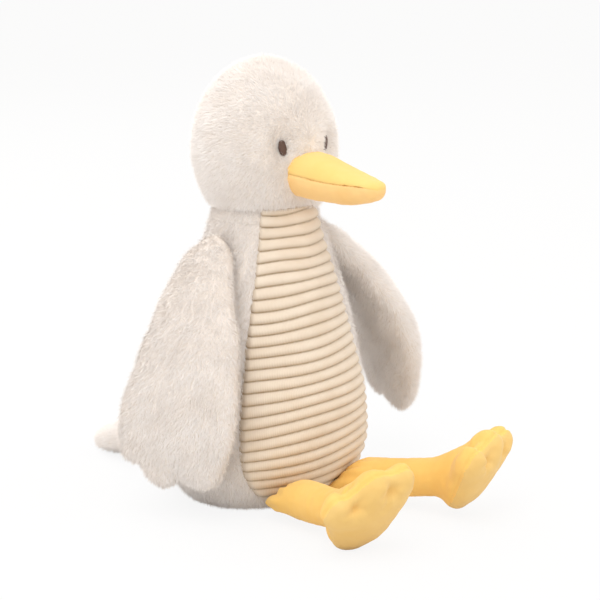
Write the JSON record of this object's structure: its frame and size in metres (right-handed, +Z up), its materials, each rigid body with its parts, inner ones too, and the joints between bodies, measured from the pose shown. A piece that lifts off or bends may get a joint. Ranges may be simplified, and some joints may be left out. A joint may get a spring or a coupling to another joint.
{
  "type": "plush goose",
  "caption": "Sitting plush goose with a furry stuffed body, ribbed belly, sewn yellow beak, scalloped wings, floppy legs with webbed feet and a small tail.",
  "frame": {"origin": "on the floor under the axis of the neck, on the flat base of the body", "axes": "+Z up through the head, -Y the way the goose faces, +X its left side"},
  "size_m": [0.2412, 0.3224, 0.288],
  "materials": {
    "plush_fur": "short pile, matte",
    "ribbed_cloth": "ribbed knit, matte",
    "yellow_cloth": "smooth woven, matte",
    "eye_thread": "embroidered satin stitch",
    "stuffing": "loose fibre",
    "pouch_cloth": "plain woven"
  },
  "bodies": {
    "body": {"belly_panel": "ribbed_cloth", "back_left": "plush_fur", "back_right": "plush_fur", "base_panel": "plush_fur", "body_stuffing": "stuffing", "pellet_pouch": "pouch_cloth"},
    "neck": {"neck_stuffing": "stuffing"},
    "head": {"head_left": "plush_fur", "head_right": "plush_fur", "head_stuffing": "stuffing", "left_eye": "eye_thread", "right_eye": "eye_thread", "beak_upper": "yellow_cloth", "beak_lower": "yellow_cloth", "beak_stuffing": "stuffing"},
    "left_wing": {"left_wing_outer": "plush_fur", "left_wing_inner": "plush_fur", "left_wing_wadding": "stuffing"},
    "left_leg": {"left_leg_cover": "yellow_cloth", "left_leg_stuffing": "stuffing", "left_foot_sole": "yellow_cloth", "left_foot_upper": "yellow_cloth", "left_foot_stuffing": "stuffing"},
    "right_wing": {"right_wing_outer": "plush_fur", "right_wing_inner": "plush_fur", "right_wing_wadding": "stuffing"},
    "right_leg": {"right_leg_cover": "yellow_cloth", "right_leg_stuffing": "stuffing", "right_foot_sole": "yellow_cloth", "right_foot_upper": "yellow_cloth", "right_foot_stuffing": "stuffing"},
    "tail": {"tail_upper": "plush_fur", "tail_lower": "plush_fur", "tail_wadding": "stuffing"}
  },
  "joints": [
    {"name": "head_turn", "type": "hinge", "parent": "body", "child": "neck", "pos_m": [0, 0, 0.182], "axis": [0, 0, 1], "range_deg": [-40, 40], "stiffness_Nm_per_rad": 0.15},
    {"name": "head_nod", "type": "hinge", "parent": "neck", "child": "head", "pos_m": [0, 0, 0.182], "axis": [1, 0, 0], "range_deg": [-12, 12], "stiffness_Nm_per_rad": 0.4},
    {"name": "left_wing_lift", "type": "hinge", "parent": "body", "child": "left_wing", "pos_m": [0.0478, -0.00428, 0.167], "axis": [-0.309, -0.9511, 0], "range_deg": [0, 75], "stiffness_Nm_per_rad": 0.06},
    {"name": "right_wing_lift", "type": "hinge", "parent": "body", "child": "right_wing", "pos_m": [-0.0478, -0.00428, 0.167], "axis": [-0.309, 0.9511, 0], "range_deg": [0, 75], "stiffness_Nm_per_rad": 0.06},
    {"name": "left_hip", "type": "hinge", "parent": "body", "child": "left_leg", "pos_m": [0.0312, -0.06327, 0.016], "axis": [-0.9397, -0.342, 0], "range_deg": [-70, 50]},
    {"name": "right_hip", "type": "hinge", "parent": "body", "child": "right_leg", "pos_m": [-0.0312, -0.06327, 0.016], "axis": [-0.9848, 0.1736, 0], "range_deg": [-70, 50]},
    {"name": "tail_lift", "type": "hinge", "parent": "body", "child": "tail", "pos_m": [0, 0.0838, 0.024], "axis": [1, 0, 0], "range_deg": [-5, 40], "stiffness_Nm_per_rad": 0.2}
  ]
}
